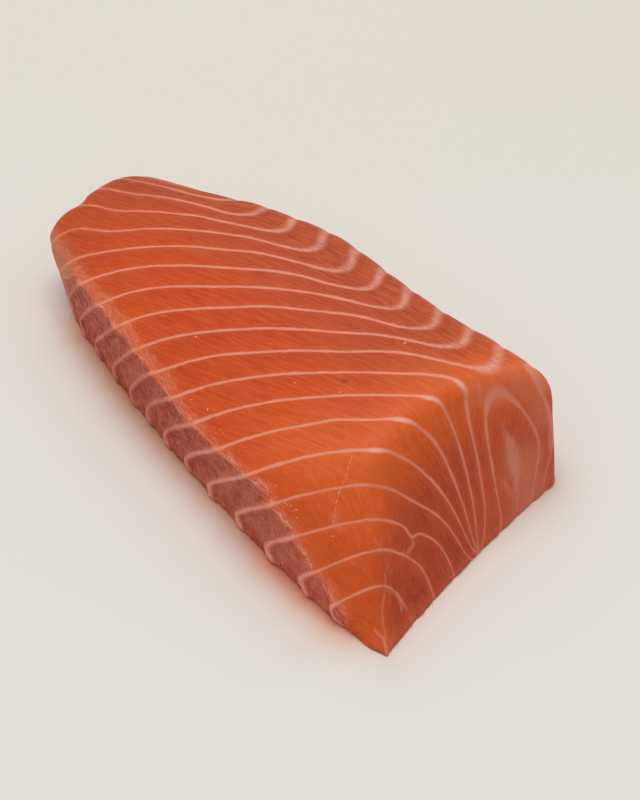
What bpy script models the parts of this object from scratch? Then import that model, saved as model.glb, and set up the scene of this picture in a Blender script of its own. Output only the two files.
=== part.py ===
"""A raw salmon fillet: one skinless block cut from the thick back of the side.

The block lies on its flat underside. Its length runs along X, from the far cut end to the wide
near end. Y runs from the thin side to the thick back, and Z is up. Each face of the block is a
named surface, and the body is everything that lies inside all of them, with each pair of faces
rounded into each other where they meet. Sizes are in millimetres until the mesh is written.
"""

import math

import bmesh
import bpy
import numpy as np

MM = 0.001

# Top face: it rises from the thin side to a crest, then rolls over towards the thick back.
THIN_SIDE_HEIGHT = 16.4
THIN_SIDE_WAVE = 1.1
THIN_SIDE_WAVELENGTH = 75.0
CREST_HEIGHT = 33.1
CREST_Y = 51.5
FAR_TAPER_START = 42.0
FAR_TAPER_RUN = 70.0
FAR_TAPER_DROP = 5.5

# Thin side: a nearly upright wall that bows out at the middle of its length.
THIN_SIDE_Y = -1.8
THIN_SIDE_BOW = 4.5
THIN_SIDE_MIDDLE = 49.0
THIN_SIDE_HALF = 75.0
THIN_SIDE_LEAN = 0.065

# Thick back: a wall that follows the fish's back and closes in towards the far end.
BACK_Y = 69.8
BACK_X = 105.0
BACK_SLOPE = 0.11
BACK_WAVE = 1.2
BACK_WAVELENGTH = 68.5
BACK_WAVE_START = 76.6
BACK_CLOSING_START = 55.0
BACK_CLOSING = 0.0022

# Near end: a slanted knife cut, leaning back more at the thin side than at the thick back.
NEAR_X = 128.2
NEAR_SLANT = -0.302
NEAR_HOLLOW = 1.7
NEAR_LEAN_THIN = 0.92
NEAR_LEAN_MIDDLE = 0.69
NEAR_LEAN_THICK = 0.22
WIDTH = 70.0

# Tip: the near corner of the thin side is cut off by a slope that runs down to a point.
TIP_X = 126.1
TIP_Y = 5.2
TIP_TURN = math.radians(33.0)
TIP_LEAN = 0.98

# Far end: a knife cut that overhangs its own foot, with one muscle end standing proud of it.
FAR_X = -16.5
FAR_HOLLOW = 5.6
FAR_HOLLOW_Y = 20.0
FAR_HOLLOW_HALF = 25.0
FAR_LEAN = 0.98
FAR_LEAN_CHANGE = -0.78
FAR_LOBE = 1.3
FAR_LOBE_Y = 9.0
FAR_LOBE_HALF = 5.0
FAR_NOTCH = 1.4
FAR_NOTCH_Y = 17.0
FAR_NOTCH_HALF = 2.2

# Radii over which neighbouring faces run into each other.
ROUND_BACK = 9.0
ROUND_FAR = 5.0
ROUND_NEAR = 3.0
ROUND_TIP_AT_FLOOR = 0.5
ROUND_TIP_GROWTH = 0.16
ROUND_THIN_SIDE = 1.2
ROUND_FLOOR = 0.8

# Cells along the length, the width and the height.
CELLS = (66, 28, 12)

# A line inside the block that every point of the surface can be seen from.
CORE_FAR_X = 4.0
CORE_NEAR_X = 88.0
CORE_Z = 10.0


def wave(x, start, length):
    return np.sin((x - start) / length * 2 * math.pi)


def hump(x, middle, half):
    return np.exp(-(((x - middle) / half) ** 2))


def thin_side_y(x, z):
    bow = THIN_SIDE_BOW * ((x - THIN_SIDE_MIDDLE) / THIN_SIDE_HALF) ** 2
    return THIN_SIDE_Y + bow + THIN_SIDE_LEAN * z


def back_y(x):
    closing = BACK_CLOSING * np.maximum(BACK_CLOSING_START - x, 0) ** 2
    swell = BACK_WAVE * wave(x, BACK_WAVE_START, BACK_WAVELENGTH)
    return BACK_Y + BACK_SLOPE * (x - BACK_X) - closing + swell


def top_z(x, y):
    side = THIN_SIDE_HEIGHT + THIN_SIDE_WAVE * wave(x, 0, THIN_SIDE_WAVELENGTH)
    across = (CREST_Y - y) / (CREST_Y - THIN_SIDE_Y)
    taper = (np.maximum(FAR_TAPER_START - x, 0) / FAR_TAPER_RUN) ** 2
    dome = CREST_HEIGHT - (CREST_HEIGHT - side) * across**2
    return dome - FAR_TAPER_DROP * taper * (1 - 0.55 * across)


def near_lean(y):
    """Sideways run for each millimetre of height, through its three named values."""
    s = y / WIDTH
    first = NEAR_LEAN_THIN * (1 - s) * (1 - 2 * s)
    second = NEAR_LEAN_MIDDLE * 4 * s * (1 - s)
    third = NEAR_LEAN_THICK * s * (2 * s - 1)
    return first + second + third


def near_x(y, z):
    s = y / WIDTH
    return NEAR_X + NEAR_SLANT * y - NEAR_HOLLOW * 4 * s * (1 - s) - near_lean(y) * z


def far_x(y, z):
    lean = FAR_LEAN + FAR_LEAN_CHANGE * (y / WIDTH - 0.4)
    hollow = FAR_HOLLOW * ((y - FAR_HOLLOW_Y) / FAR_HOLLOW_HALF) ** 2
    high = np.clip(z / THIN_SIDE_HEIGHT, 0, 1) ** 2
    lobe = FAR_LOBE * high * hump(y, FAR_LOBE_Y, FAR_LOBE_HALF)
    notch = FAR_NOTCH * high * hump(y, FAR_NOTCH_Y, FAR_NOTCH_HALF)
    return FAR_X + hollow - lean * z - lobe + notch


def rounded_max(a, b, radius):
    """The larger of two distances, eased over the radius where they are nearly equal."""
    share = np.clip(0.5 + 0.5 * (a - b) / radius, 0, 1)
    return b + (a - b) * share + radius * share * (1 - share)


def outside(p):
    """How far each point stands outside the block: below zero inside, above zero outside."""
    x, y, z = p[:, 0], p[:, 1], p[:, 2]
    rise = 2 * (CREST_HEIGHT - THIN_SIDE_HEIGHT) * (CREST_Y - y) / (CREST_Y - THIN_SIDE_Y) ** 2
    top = (z - top_z(x, y)) / np.sqrt(1 + rise**2)
    side = thin_side_y(x, z) - y
    back = y - back_y(x)
    near = (x - near_x(y, z)) / np.sqrt(1 + near_lean(y) ** 2 + NEAR_SLANT**2)
    along = (x - TIP_X) * math.sin(TIP_TURN) - (y - TIP_Y) * math.cos(TIP_TURN)
    tip = (along + TIP_LEAN * z) / math.sqrt(1 + TIP_LEAN**2)
    far = (far_x(y, z) - x) / math.sqrt(1 + FAR_LEAN**2)
    body = rounded_max(top, back, ROUND_BACK)
    body = rounded_max(body, far, ROUND_FAR)
    tip_round = ROUND_TIP_AT_FLOOR + ROUND_TIP_GROWTH * np.clip(z, 0, 40)
    body = rounded_max(body, rounded_max(near, tip, tip_round), ROUND_NEAR)
    body = rounded_max(body, side, ROUND_THIN_SIDE)
    return rounded_max(body, -z, ROUND_FLOOR)


def box_grid(cells):
    """Points of a unit box's six sides, and the four-cornered cells between them."""
    number = {}
    points = []
    faces = []

    def corner(i, j, k):
        key = (i, j, k)
        if key not in number:
            number[key] = len(points)
            points.append([i / cells[0], j / cells[1], k / cells[2]])
        return number[key]

    for axis in range(3):
        one, two = [a for a in range(3) if a != axis]
        for end in (0, cells[axis]):
            for i in range(cells[one]):
                for j in range(cells[two]):
                    ring = []
                    for di, dj in ((0, 0), (1, 0), (1, 1), (0, 1)):
                        at = [0, 0, 0]
                        at[axis] = end
                        at[one] = i + di
                        at[two] = j + dj
                        ring.append(corner(*at))
                    turned = (end == 0) != (axis == 1)
                    faces.append(ring[::-1] if turned else ring)
    return np.array(points), faces


def onto_block(unit):
    """Carries unit-box points onto the rounded surface of the block."""
    eased = unit - 0.3 * np.sin(2 * math.pi * unit) / (2 * math.pi)
    u, v, w = eased[:, 0], eased[:, 1], eased[:, 2]
    y = THIN_SIDE_Y + v * WIDTH
    x = FAR_X + u * (NEAR_X - FAR_X)
    for _ in range(4):
        z = w * top_z(x, y)
        x = far_x(y, z) * (1 - u) + near_x(y, z) * u
        y = thin_side_y(x, z) * (1 - v) + back_y(x) * v
    target = np.stack([x, y, w * top_z(x, y)], 1)
    core_x = np.clip(x, CORE_FAR_X, CORE_NEAR_X)
    core_y = 0.5 * (thin_side_y(core_x, CORE_Z) + back_y(core_x))
    core = np.stack([core_x, core_y, np.full_like(core_x, CORE_Z)], 1)
    inner = np.zeros(len(x))
    outer = np.full(len(x), 1.8)
    for _ in range(42):
        middle = 0.5 * (inner + outer)
        out = outside(core + (target - core) * middle[:, None]) > 0
        outer = np.where(out, middle, outer)
        inner = np.where(out, inner, middle)
    points = core + (target - core) * inner[:, None]
    points[np.abs(points[:, 2]) < 0.02, 2] = 0
    return points


def flesh_material():
    material = bpy.data.materials.new("salmon_flesh")
    material.use_nodes = True
    shader = material.node_tree.nodes["Principled BSDF"]
    shader.inputs["Base Color"].default_value = (0.56, 0.095, 0.03, 1)
    shader.inputs["Roughness"].default_value = 0.42
    shader.inputs["Metallic"].default_value = 0.0
    return material


def build_fillet():
    unit, faces = box_grid(CELLS)
    points = onto_block(unit)
    low = points.min(0)
    high = points.max(0)
    points -= [(low[0] + high[0]) / 2, (low[1] + high[1]) / 2, low[2]]
    mesh = bpy.data.meshes.new("fillet")
    mesh.from_pydata((points * MM).tolist(), [], faces)
    shape = bmesh.new()
    shape.from_mesh(mesh)
    underside = [f for f in shape.faces if all(abs(v.co.z) < 1e-7 for v in f.verts)]
    bmesh.ops.dissolve_faces(shape, faces=underside, use_verts=True)
    bmesh.ops.recalc_face_normals(shape, faces=shape.faces)
    shape.to_mesh(mesh)
    shape.free()
    mesh.shade_smooth()
    mesh.set_sharp_from_angle(angle=math.radians(50))
    mesh.materials.append(flesh_material())
    fillet = bpy.data.objects.new("fillet", mesh)
    bpy.context.scene.collection.objects.link(fillet)
    size = high - low
    print("block %.1f x %.1f x %.1f mm, %d faces" % (*size, len(mesh.polygons)))
    return fillet


for old in list(bpy.data.objects):
    bpy.data.objects.remove(old, do_unlink=True)
build_fillet()
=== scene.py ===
# %% [markdown]
# # A raw salmon fillet
#
# The object is one thick piece of raw salmon without its skin, cut from the back of the fish. It
# is a slab of orange muscle, split into segments by thin pale sheets of fat. The script builds it
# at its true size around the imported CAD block, and gives it the fine surface that the block
# leaves out.
#
# The first cell loads the block. Its size is kept, because the finished fillet has to fit it.

# %% Load the block
import math

import bpy
import numpy as np
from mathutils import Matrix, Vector
from mathutils.bvhtree import BVHTree


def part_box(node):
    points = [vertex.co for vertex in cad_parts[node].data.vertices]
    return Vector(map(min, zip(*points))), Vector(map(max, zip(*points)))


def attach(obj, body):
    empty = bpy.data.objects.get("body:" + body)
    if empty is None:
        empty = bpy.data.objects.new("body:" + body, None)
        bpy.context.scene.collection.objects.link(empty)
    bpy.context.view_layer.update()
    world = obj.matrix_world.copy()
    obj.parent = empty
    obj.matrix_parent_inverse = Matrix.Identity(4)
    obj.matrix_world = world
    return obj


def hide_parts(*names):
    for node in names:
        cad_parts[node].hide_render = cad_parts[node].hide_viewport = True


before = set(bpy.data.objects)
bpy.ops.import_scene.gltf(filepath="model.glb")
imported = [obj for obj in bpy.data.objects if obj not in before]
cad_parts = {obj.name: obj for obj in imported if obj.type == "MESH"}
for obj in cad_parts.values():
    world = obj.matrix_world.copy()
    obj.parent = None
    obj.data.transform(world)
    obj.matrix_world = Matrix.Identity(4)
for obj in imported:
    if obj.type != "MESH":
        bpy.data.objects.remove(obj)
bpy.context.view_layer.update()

block_low, block_high = [np.array(corner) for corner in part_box("fillet")]
block_size = block_high - block_low
MM = 0.001
print("block size in mm:", np.round(block_size / MM, 1))

# %% [markdown]
# ## The camera
#
# A camera is easiest to place by what it looks at: a point just above the middle of the block, a
# compass angle, a height angle and a distance. The three angles and lengths give its place, and
# turning its own Z axis along the line of sight points it.

# %% Camera
AZIMUTH = math.radians(55.96)
ELEVATION = math.radians(42.0)
DISTANCE = 0.3237
LOOK_AT = Vector((0.0186, -0.00335, 0.013))
LENS = 60
SENSOR = 36


def place_camera():
    sight = Vector((
        math.sin(AZIMUTH) * math.cos(ELEVATION),
        -math.cos(AZIMUTH) * math.cos(ELEVATION),
        math.sin(ELEVATION),
    ))
    data = bpy.data.cameras.new("camera")
    data.lens = LENS
    data.sensor_width = SENSOR
    data.clip_start = 0.01
    camera = bpy.data.objects.new("camera", data)
    camera.location = LOOK_AT + sight * DISTANCE
    camera.rotation_euler = sight.to_track_quat("Z", "Y").to_euler()
    bpy.context.scene.collection.objects.link(camera)
    bpy.context.scene.camera = camera
    return camera


camera = place_camera()
print("camera stands at", [round(v, 3) for v in camera.location])

# %% [markdown]
# ## Small helpers for node trees
#
# Every tree below is built in the script. These helpers place a node, set its options and feed
# its sockets with a number or with another node's output, so that the cells after this one read
# like a recipe.

# %% Node helpers


def feed(tree, socket, value):
    if isinstance(value, bpy.types.NodeSocket):
        tree.links.new(value, socket)
    else:
        socket.default_value = value


def put(tree, kind, feeds=None, **options):
    node = tree.nodes.new(kind)
    for name, value in options.items():
        setattr(node, name, value)
    for name, value in (feeds or {}).items():
        feed(tree, node.inputs[name], value)
    return node


def maths(tree, operation, *values, clamp=False):
    node = put(tree, "ShaderNodeMath", operation=operation, use_clamp=clamp)
    for socket, value in zip(node.inputs, values):
        feed(tree, socket, value)
    return node.outputs[0]


def vector_maths(tree, operation, *values):
    node = put(tree, "ShaderNodeVectorMath", operation=operation)
    for socket, value in zip(node.inputs, values):
        feed(tree, socket, value)
    return node.outputs[0]


def ramp(tree, value, low, high, to_low=0.0, to_high=1.0, kind="SMOOTHSTEP"):
    feeds = {"Value": value, "From Min": low, "From Max": high}
    feeds.update({"To Min": to_low, "To Max": to_high})
    return put(tree, "ShaderNodeMapRange", feeds, interpolation_type=kind).outputs[0]


def noise(tree, place, scale, detail=2.0, roughness=0.5, distortion=0.0):
    feeds = {"Vector": place, "Scale": scale, "Detail": detail}
    feeds.update({"Roughness": roughness, "Distortion": distortion})
    return put(tree, "ShaderNodeTexNoise", feeds).outputs[0]


def mixed(tree, share, first, second, kind="MIX"):
    node = put(tree, "ShaderNodeMix", data_type="RGBA", blend_type=kind)
    feed(tree, node.inputs[0], share)
    feed(tree, node.inputs[6], first)
    feed(tree, node.inputs[7], second)
    return node.outputs[2]


def new_tree(name, kind, inputs, outputs):
    """A node group with its named inputs and outputs, and the nodes that stand for them."""
    tree = bpy.data.node_groups.new(name, kind)
    for socket_name, socket_type, value in inputs:
        socket = tree.interface.new_socket(socket_name, in_out="INPUT", socket_type=socket_type)
        if value is not None:
            socket.default_value = value
    for socket_name, socket_type in outputs:
        tree.interface.new_socket(socket_name, in_out="OUTPUT", socket_type=socket_type)
    return tree, put(tree, "NodeGroupInput").outputs, put(tree, "NodeGroupOutput").inputs


FLOAT = "NodeSocketFloat"
VECTOR = "NodeSocketVector"
COLOUR = "NodeSocketColor"
GEOMETRY = "NodeSocketGeometry"

# %% [markdown]
# ## The faces of the block
#
# The block is what lies inside seven named faces: the top, the thin side, the thick back, the
# near end, the tip, the far end and the floor. Each face is a short formula, and each pair of
# neighbours is rounded into one another. These are the same formulas that the CAD block was cut
# from, so the finer mesh made here lies exactly on it. Sizes are in millimetres.

# %% Faces of the block
THIN_SIDE_HEIGHT, THIN_SIDE_WAVE, THIN_SIDE_WAVELENGTH = 16.4, 1.1, 75.0
CREST_HEIGHT, CREST_Y = 33.1, 51.5
FAR_TAPER_START, FAR_TAPER_RUN, FAR_TAPER_DROP = 42.0, 70.0, 5.5
THIN_SIDE_Y, THIN_SIDE_BOW, THIN_SIDE_LEAN = -1.8, 4.5, 0.065
THIN_SIDE_MIDDLE, THIN_SIDE_HALF = 49.0, 75.0
BACK_Y, BACK_X, BACK_SLOPE = 69.8, 105.0, 0.11
BACK_WAVE, BACK_WAVELENGTH, BACK_WAVE_START = 1.2, 68.5, 76.6
BACK_CLOSING_START, BACK_CLOSING = 55.0, 0.0022
NEAR_X, NEAR_SLANT, NEAR_HOLLOW = 128.2, -0.302, 1.7
NEAR_LEAN_THIN, NEAR_LEAN_MIDDLE, NEAR_LEAN_THICK = 0.92, 0.69, 0.22
WIDTH = 70.0
TIP_X, TIP_Y, TIP_TURN, TIP_LEAN = 126.1, 5.2, math.radians(33.0), 0.98
FAR_X, FAR_HOLLOW, FAR_HOLLOW_Y, FAR_HOLLOW_HALF = -16.5, 5.6, 20.0, 25.0
FAR_LEAN, FAR_LEAN_CHANGE = 0.98, -0.78
FAR_LOBE, FAR_LOBE_Y, FAR_LOBE_HALF = 1.3, 9.0, 5.0
FAR_NOTCH, FAR_NOTCH_Y, FAR_NOTCH_HALF = 1.4, 17.0, 2.2
ROUND_BACK, ROUND_FAR, ROUND_NEAR, ROUND_THIN_SIDE, ROUND_FLOOR = 9.0, 5.0, 3.0, 1.2, 0.8
ROUND_TIP_AT_FLOOR, ROUND_TIP_GROWTH = 0.5, 0.16


def wave(x, start, length):
    return np.sin((x - start) / length * 2 * math.pi)


def hump(x, middle, half):
    return np.exp(-(((x - middle) / half) ** 2))


def thin_side_y(x, z):
    bow = THIN_SIDE_BOW * ((x - THIN_SIDE_MIDDLE) / THIN_SIDE_HALF) ** 2
    return THIN_SIDE_Y + bow + THIN_SIDE_LEAN * z


def back_y(x):
    closing = BACK_CLOSING * np.maximum(BACK_CLOSING_START - x, 0) ** 2
    swell = BACK_WAVE * wave(x, BACK_WAVE_START, BACK_WAVELENGTH)
    return BACK_Y + BACK_SLOPE * (x - BACK_X) - closing + swell


def top_z(x, y):
    side = THIN_SIDE_HEIGHT + THIN_SIDE_WAVE * wave(x, 0, THIN_SIDE_WAVELENGTH)
    across = (CREST_Y - y) / (CREST_Y - THIN_SIDE_Y)
    taper = (np.maximum(FAR_TAPER_START - x, 0) / FAR_TAPER_RUN) ** 2
    dome = CREST_HEIGHT - (CREST_HEIGHT - side) * across**2
    return dome - FAR_TAPER_DROP * taper * (1 - 0.55 * across)


def near_lean(y):
    s = y / WIDTH
    first = NEAR_LEAN_THIN * (1 - s) * (1 - 2 * s)
    second = NEAR_LEAN_MIDDLE * 4 * s * (1 - s)
    third = NEAR_LEAN_THICK * s * (2 * s - 1)
    return first + second + third


def near_x(y, z):
    s = y / WIDTH
    return NEAR_X + NEAR_SLANT * y - NEAR_HOLLOW * 4 * s * (1 - s) - near_lean(y) * z


def far_x(y, z):
    lean = FAR_LEAN + FAR_LEAN_CHANGE * (y / WIDTH - 0.4)
    hollow = FAR_HOLLOW * ((y - FAR_HOLLOW_Y) / FAR_HOLLOW_HALF) ** 2
    high = np.clip(z / THIN_SIDE_HEIGHT, 0, 1) ** 2
    lobe = FAR_LOBE * high * hump(y, FAR_LOBE_Y, FAR_LOBE_HALF)
    notch = FAR_NOTCH * high * hump(y, FAR_NOTCH_Y, FAR_NOTCH_HALF)
    return FAR_X + hollow - lean * z - lobe + notch


def rounded_max(a, b, radius):
    """The larger of two distances, eased over the radius where they are nearly equal."""
    share = np.clip(0.5 + 0.5 * (a - b) / radius, 0, 1)
    return b + (a - b) * share + radius * share * (1 - share)


def face_distances(p):
    """How far each point stands outside each of the seven faces: negative is inside."""
    x, y, z = p[:, 0], p[:, 1], p[:, 2]
    rise = 2 * (CREST_HEIGHT - THIN_SIDE_HEIGHT) * (CREST_Y - y) / (CREST_Y - THIN_SIDE_Y) ** 2
    along = (x - TIP_X) * math.sin(TIP_TURN) - (y - TIP_Y) * math.cos(TIP_TURN)
    return {
        "top": (z - top_z(x, y)) / np.sqrt(1 + rise**2),
        "thin side": thin_side_y(x, z) - y,
        "back": y - back_y(x),
        "near end": (x - near_x(y, z)) / np.sqrt(1 + near_lean(y) ** 2 + NEAR_SLANT**2),
        "tip": (along + TIP_LEAN * z) / math.sqrt(1 + TIP_LEAN**2),
        "far end": (far_x(y, z) - x) / math.sqrt(1 + FAR_LEAN**2),
        "floor": -z,
    }


def outside(p):
    d = face_distances(p)
    body = rounded_max(d["top"], d["back"], ROUND_BACK)
    body = rounded_max(body, d["far end"], ROUND_FAR)
    tip_round = ROUND_TIP_AT_FLOOR + ROUND_TIP_GROWTH * np.clip(p[:, 2], 0, 40)
    body = rounded_max(body, rounded_max(d["near end"], d["tip"], tip_round), ROUND_NEAR)
    body = rounded_max(body, d["thin side"], ROUND_THIN_SIDE)
    return rounded_max(body, d["floor"], ROUND_FLOOR)


# %% [markdown]
# ## A fine mesh on those faces
#
# A plain box is cut into small cells, and every corner is carried onto the rounded surface along
# a straight line from the middle of the block. Halving the distance again and again finds the
# surface to a hair's width. A remesh or a sculpt would give cells of no fixed order, and these
# stay in tidy rows along the fillet, half a millimetre apart, which is what the fine relief
# needs. The underside lies flat, so there the cells are four times as large.

# %% Fine mesh
COARSE_CELLS = (66, 28, 12)
FINE_CELLS = (300, 136, 54)
UNDERSIDE_STEP = 4
CORE_FAR_X, CORE_NEAR_X, CORE_Z = 4.0, 88.0, 10.0


def box_grid(cells, floor_step=1):
    """Points of a unit box's six sides, and the cells between them."""
    number = {}
    points = []
    faces = []

    def corner(at):
        key = tuple(at)
        if key not in number:
            number[key] = len(points)
            points.append([key[a] / cells[a] for a in range(3)])
        return number[key]

    for axis in range(3):
        one, two = [a for a in range(3) if a != axis]
        for end in (0, cells[axis]):
            step = floor_step if axis == 2 and end == 0 else 1
            turned = (end == 0) != (axis == 1)
            for i in range(0, cells[one], step):
                for j in range(0, cells[two], step):
                    way = [(k, 0) for k in range(step)] + [(step, k) for k in range(step)]
                    way += [(step - k, step) for k in range(step)]
                    way += [(0, step - k) for k in range(step)]
                    ring = []
                    for di, dj in way:
                        at = [0, 0, 0]
                        at[axis], at[one], at[two] = end, i + di, j + dj
                        rim = at[one] in (0, cells[one]) or at[two] in (0, cells[two])
                        if rim or (di % step == 0 and dj % step == 0):
                            ring.append(corner(at))
                    faces.append(ring[::-1] if turned else ring)
    return np.array(points), faces


def onto_block(unit):
    """Carries unit-box points onto the rounded surface of the block."""
    eased = unit - 0.3 * np.sin(2 * math.pi * unit) / (2 * math.pi)
    u, v, w = eased[:, 0], eased[:, 1], eased[:, 2]
    y = THIN_SIDE_Y + v * WIDTH
    x = FAR_X + u * (NEAR_X - FAR_X)
    for _ in range(4):
        z = w * top_z(x, y)
        x = far_x(y, z) * (1 - u) + near_x(y, z) * u
        y = thin_side_y(x, z) * (1 - v) + back_y(x) * v
    target = np.stack([x, y, w * top_z(x, y)], 1)
    core_x = np.clip(x, CORE_FAR_X, CORE_NEAR_X)
    core_y = 0.5 * (thin_side_y(core_x, CORE_Z) + back_y(core_x))
    core = np.stack([core_x, core_y, np.full_like(core_x, CORE_Z)], 1)
    inner = np.zeros(len(x))
    outer = np.full(len(x), 1.8)
    for _ in range(42):
        middle = 0.5 * (inner + outer)
        out = outside(core + (target - core) * middle[:, None]) > 0
        outer = np.where(out, middle, outer)
        inner = np.where(out, inner, middle)
    points = core + (target - core) * inner[:, None]
    points[np.abs(points[:, 2]) < 0.02, 2] = 0
    return points


coarse = onto_block(box_grid(COARSE_CELLS)[0])
low, high = coarse.min(0), coarse.max(0)
middle_of_block = 0.5 * (block_low + block_high)
shift = np.array([*(0.5 * (low + high))[:2], low[2]]) - [*(middle_of_block[:2] / MM), 0]
print("formulas give", np.round(high - low, 2), "against", np.round(block_size / MM, 2))

unit, cells = box_grid(FINE_CELLS, UNDERSIDE_STEP)
flesh = onto_block(unit)
print(len(flesh), "points,", sum(len(c) - 2 for c in cells), "triangles")

# %% [markdown]
# ## The sheets of fat
#
# A fish's side muscle is a stack of W-folded cones, one inside the next, and a thin sheet of fat
# parts each cone from its neighbour. Where a knife or the peeled skin cuts through the stack, the
# sheets show as pale lines. So the lines on all the faces belong together, and the honest way to
# draw them is to describe the stack in the solid. One number does it: the sheet count, which
# rises by one from sheet to sheet. The table holds how far along the fillet the same sheet is
# found, by the place across (its rows) and the height (its columns).

# %% Sheets of fat
SHEET_SPACING = 11.0
ACROSS = np.array([-0.05, 0.1, 0.25, 0.4, 0.55, 0.68, 0.8, 0.9, 1.0, 1.1, 1.25])
HEIGHTS = np.array([0, 0.12, 0.3, 0.5, 0.75, 1.0])
ALONG = np.array([
    [139.0, 139.8, 140.9, 142.4, 145.3, 148.9],
    [148.9, 147.4, 146.0, 147.4, 150.4, 153.2],
    [161.4, 158.1, 153.4, 153.1, 157.1, 158.4],
    [174.5, 168.5, 163.0, 164.0, 164.4, 164.3],
    [186.7, 180.1, 173.8, 172.2, 170.0, 169.0],
    [195.4, 190.5, 184.5, 179.6, 174.6, 172.3],
    [200.5, 197.8, 195.2, 191.2, 185.3, 177.2],
    [202.3, 204.4, 203.5, 202.0, 194.8, 185.1],
    [193.2, 197.2, 201.0, 199.9, 192.7, 185.0],
    [179.0, 181.8, 189.1, 190.4, 185.1, 178.4],
    [159.2, 161.7, 165.3, 168.3, 169.5, 169.0],
])
SLANT_ACROSS = np.array([0, 0.35, 0.7, 0.95, 1.1])
SLANT = np.array([-1.8, -0.2, -1.0, -2.3, -3.8])
CURL = np.array([1.6, -4.4, -7.4, -5.8, -6.6])
RIDGE_AT, RIDGE_SLOPE = 46.5, 0.13
FAN, FAN_AT, FAN_WIDTH, FAN_SOFT = 44.46, 0.64, 0.3, 0.003
SWAY = (0.5, -0.3)


def spline_weights(at, stations):
    """How much each station's value counts at a place, on a smooth curve through them all."""
    count = len(stations)
    gap = np.diff(stations)
    stiff = np.eye(count)
    pull = np.zeros((count, count))
    for i in range(1, count - 1):
        stiff[i, i - 1 : i + 2] = gap[i - 1] / 6, (gap[i - 1] + gap[i]) / 3, gap[i] / 6
        pull[i, i - 1 : i + 2] = 1 / gap[i - 1], -1 / gap[i - 1] - 1 / gap[i], 1 / gap[i]
    bend = np.linalg.solve(stiff, pull)
    k = np.clip(np.searchsorted(stations, at) - 1, 0, count - 2)
    left = (stations[k + 1] - at) / gap[k]
    right = 1 - left
    eye = np.eye(count)
    weights = left[:, None] * eye[k] + right[:, None] * eye[k + 1]
    square = (gap[k] ** 2 / 6)[:, None]
    return weights + square * (
        (left**3 - left)[:, None] * bend[k] + (right**3 - right)[:, None] * bend[k + 1]
    )


KINKS = np.array([
    [-34, 24, 24, 13, -1.4], [-31, 9, 19, 13, -4.2], [-24, 20, 24, 8, 1.3], [-17, 16, 23, 8, 0.8],
    [-17, 32, 28, 8, -0.6], [-11, 20, 25, 13, 1.8], [-10, 2, 15, 13, -1.6], [5, 41, 31, 5, 1.4],
    [18, 52, 32, 13, -1.0], [20, 0, 10, 13, 1.5], [22, 42, 32, 8, -0.7], [32, 9, 22, 13, 0.5],
    [36, -1, 9, 8, -0.7], [43, 29, 30, 8, -1.1], [45, 50, 33, 8, 0.8], [57, 46, 33, 13, 0.8],
    [58, 60, 31, 8, -1.3], [60, -1, 11, 20, -0.5], [63, 36, 32, 5, 0.6], [64, 20, 27, 8, -0.5],
    [70, 48, 33, 5, 0.9], [73, 39, 32, 5, -0.5], [77, 43, 33, 5, -0.8], [82, 20, 28, 5, -0.8],
    [85, 23, 28, 5, -0.6], [86, 50, 33, 8, -2.0], [92, 39, 32, 8, 0.7], [97, 23, 27, 8, 0.8],
    [103, 1, 7, 8, 1.0], [105, 65, 10, 5, 0.5], [108, 36, 11, 5, 0.4], [112, 35, 6, 5, -0.7],
    [113, 40, 2, 5, 0.7], [114, 7, 9, 8, -0.7], [121, 6, 4, 5, -0.5], [110, 23, 12, 1.8, 3.0],
])


def sheet_count(p):
    x, y, z = p.T
    across = y / (RIDGE_AT + RIDGE_SLOPE * x)
    height = np.clip(z / top_z(x, y), 0, 1.02)
    table = spline_weights(across, ACROSS) @ ALONG
    along = (table * spline_weights(height, HEIGHTS)).sum(1)
    far = (x - 45) / 60
    slant = spline_weights(across, SLANT_ACROSS)
    along += far * (slant @ SLANT) + far**2 * (slant @ CURL)
    along += FAN * np.arctan2(across - FAN_AT, FAN_WIDTH * (height + FAN_SOFT)) / math.pi
    turn = x / 70 * 2 * math.pi
    along += SWAY[0] * np.sin(turn) + SWAY[1] * np.cos(turn)
    for *centre, reach, push in KINKS:
        along += push * np.exp(-((p - centre) ** 2).sum(1) / reach**2)
    return (along - x) / SHEET_SPACING


def gradient_size(field, p, step=0.2):
    """How fast a field changes for each millimetre through the solid."""
    parts = []
    for axis in range(3):
        move = np.zeros(3)
        move[axis] = step
        parts.append((field(p + move) - field(p - move)) / (2 * step))
    return np.sqrt(sum(part**2 for part in parts))


count = sheet_count(flesh)
packing = gradient_size(sheet_count, flesh)
print("sheets cut through:", int(count.max()) - int(count.min()))

# %% [markdown]
# ## Where on the fillet a point is
#
# The finish differs from place to place: the peeled top, the rough thin side, the knife cuts at
# both ends. Each point gets a share of every face, by how near it is to that face, so that the
# finishes fade into one another around the edges. A painted mask would need a hand and a brush.
# Shares worked out from the shape need neither, and they are right from every side.

# %% Shares of the faces
EDGE_FADE = 0.4
LEAST_PULL, MOST_PULL = -40, 3


def face_shares(depths):
    pull = {
        face: np.exp(np.clip(value / EDGE_FADE, LEAST_PULL, MOST_PULL))
        for face, value in depths.items()
    }
    total = sum(pull.values())
    return {face: value / total for face, value in pull.items()}


def smooth(value, start, end):
    """Eases from 0 at start to 1 at end."""
    t = np.clip((value - start) / (end - start), 0, 1)
    return t * t * (3 - 2 * t)


depth = face_distances(flesh)
share = face_shares(depth)
x, y, z = flesh.T
far_corner = smooth(x, -10, -21)
cut_end = share["near end"] + share["tip"]
torn_fade = smooth(x, 121, 113) * (1 - far_corner)
thin_side = share["thin side"] * torn_fade
others = np.max([depth[face] for face in ("top", "near end", "tip", "far end")], axis=0)
others = np.maximum(others, depth["floor"] - 1.2)
wall_gap = np.clip(depth["thin side"] - others, -6, 6) - 5 * (1 - torn_fade)
for face, value in share.items():
    print(f"{face:9s} covers {100 * (value > 0.5).mean():4.1f} % of the points")

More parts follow.
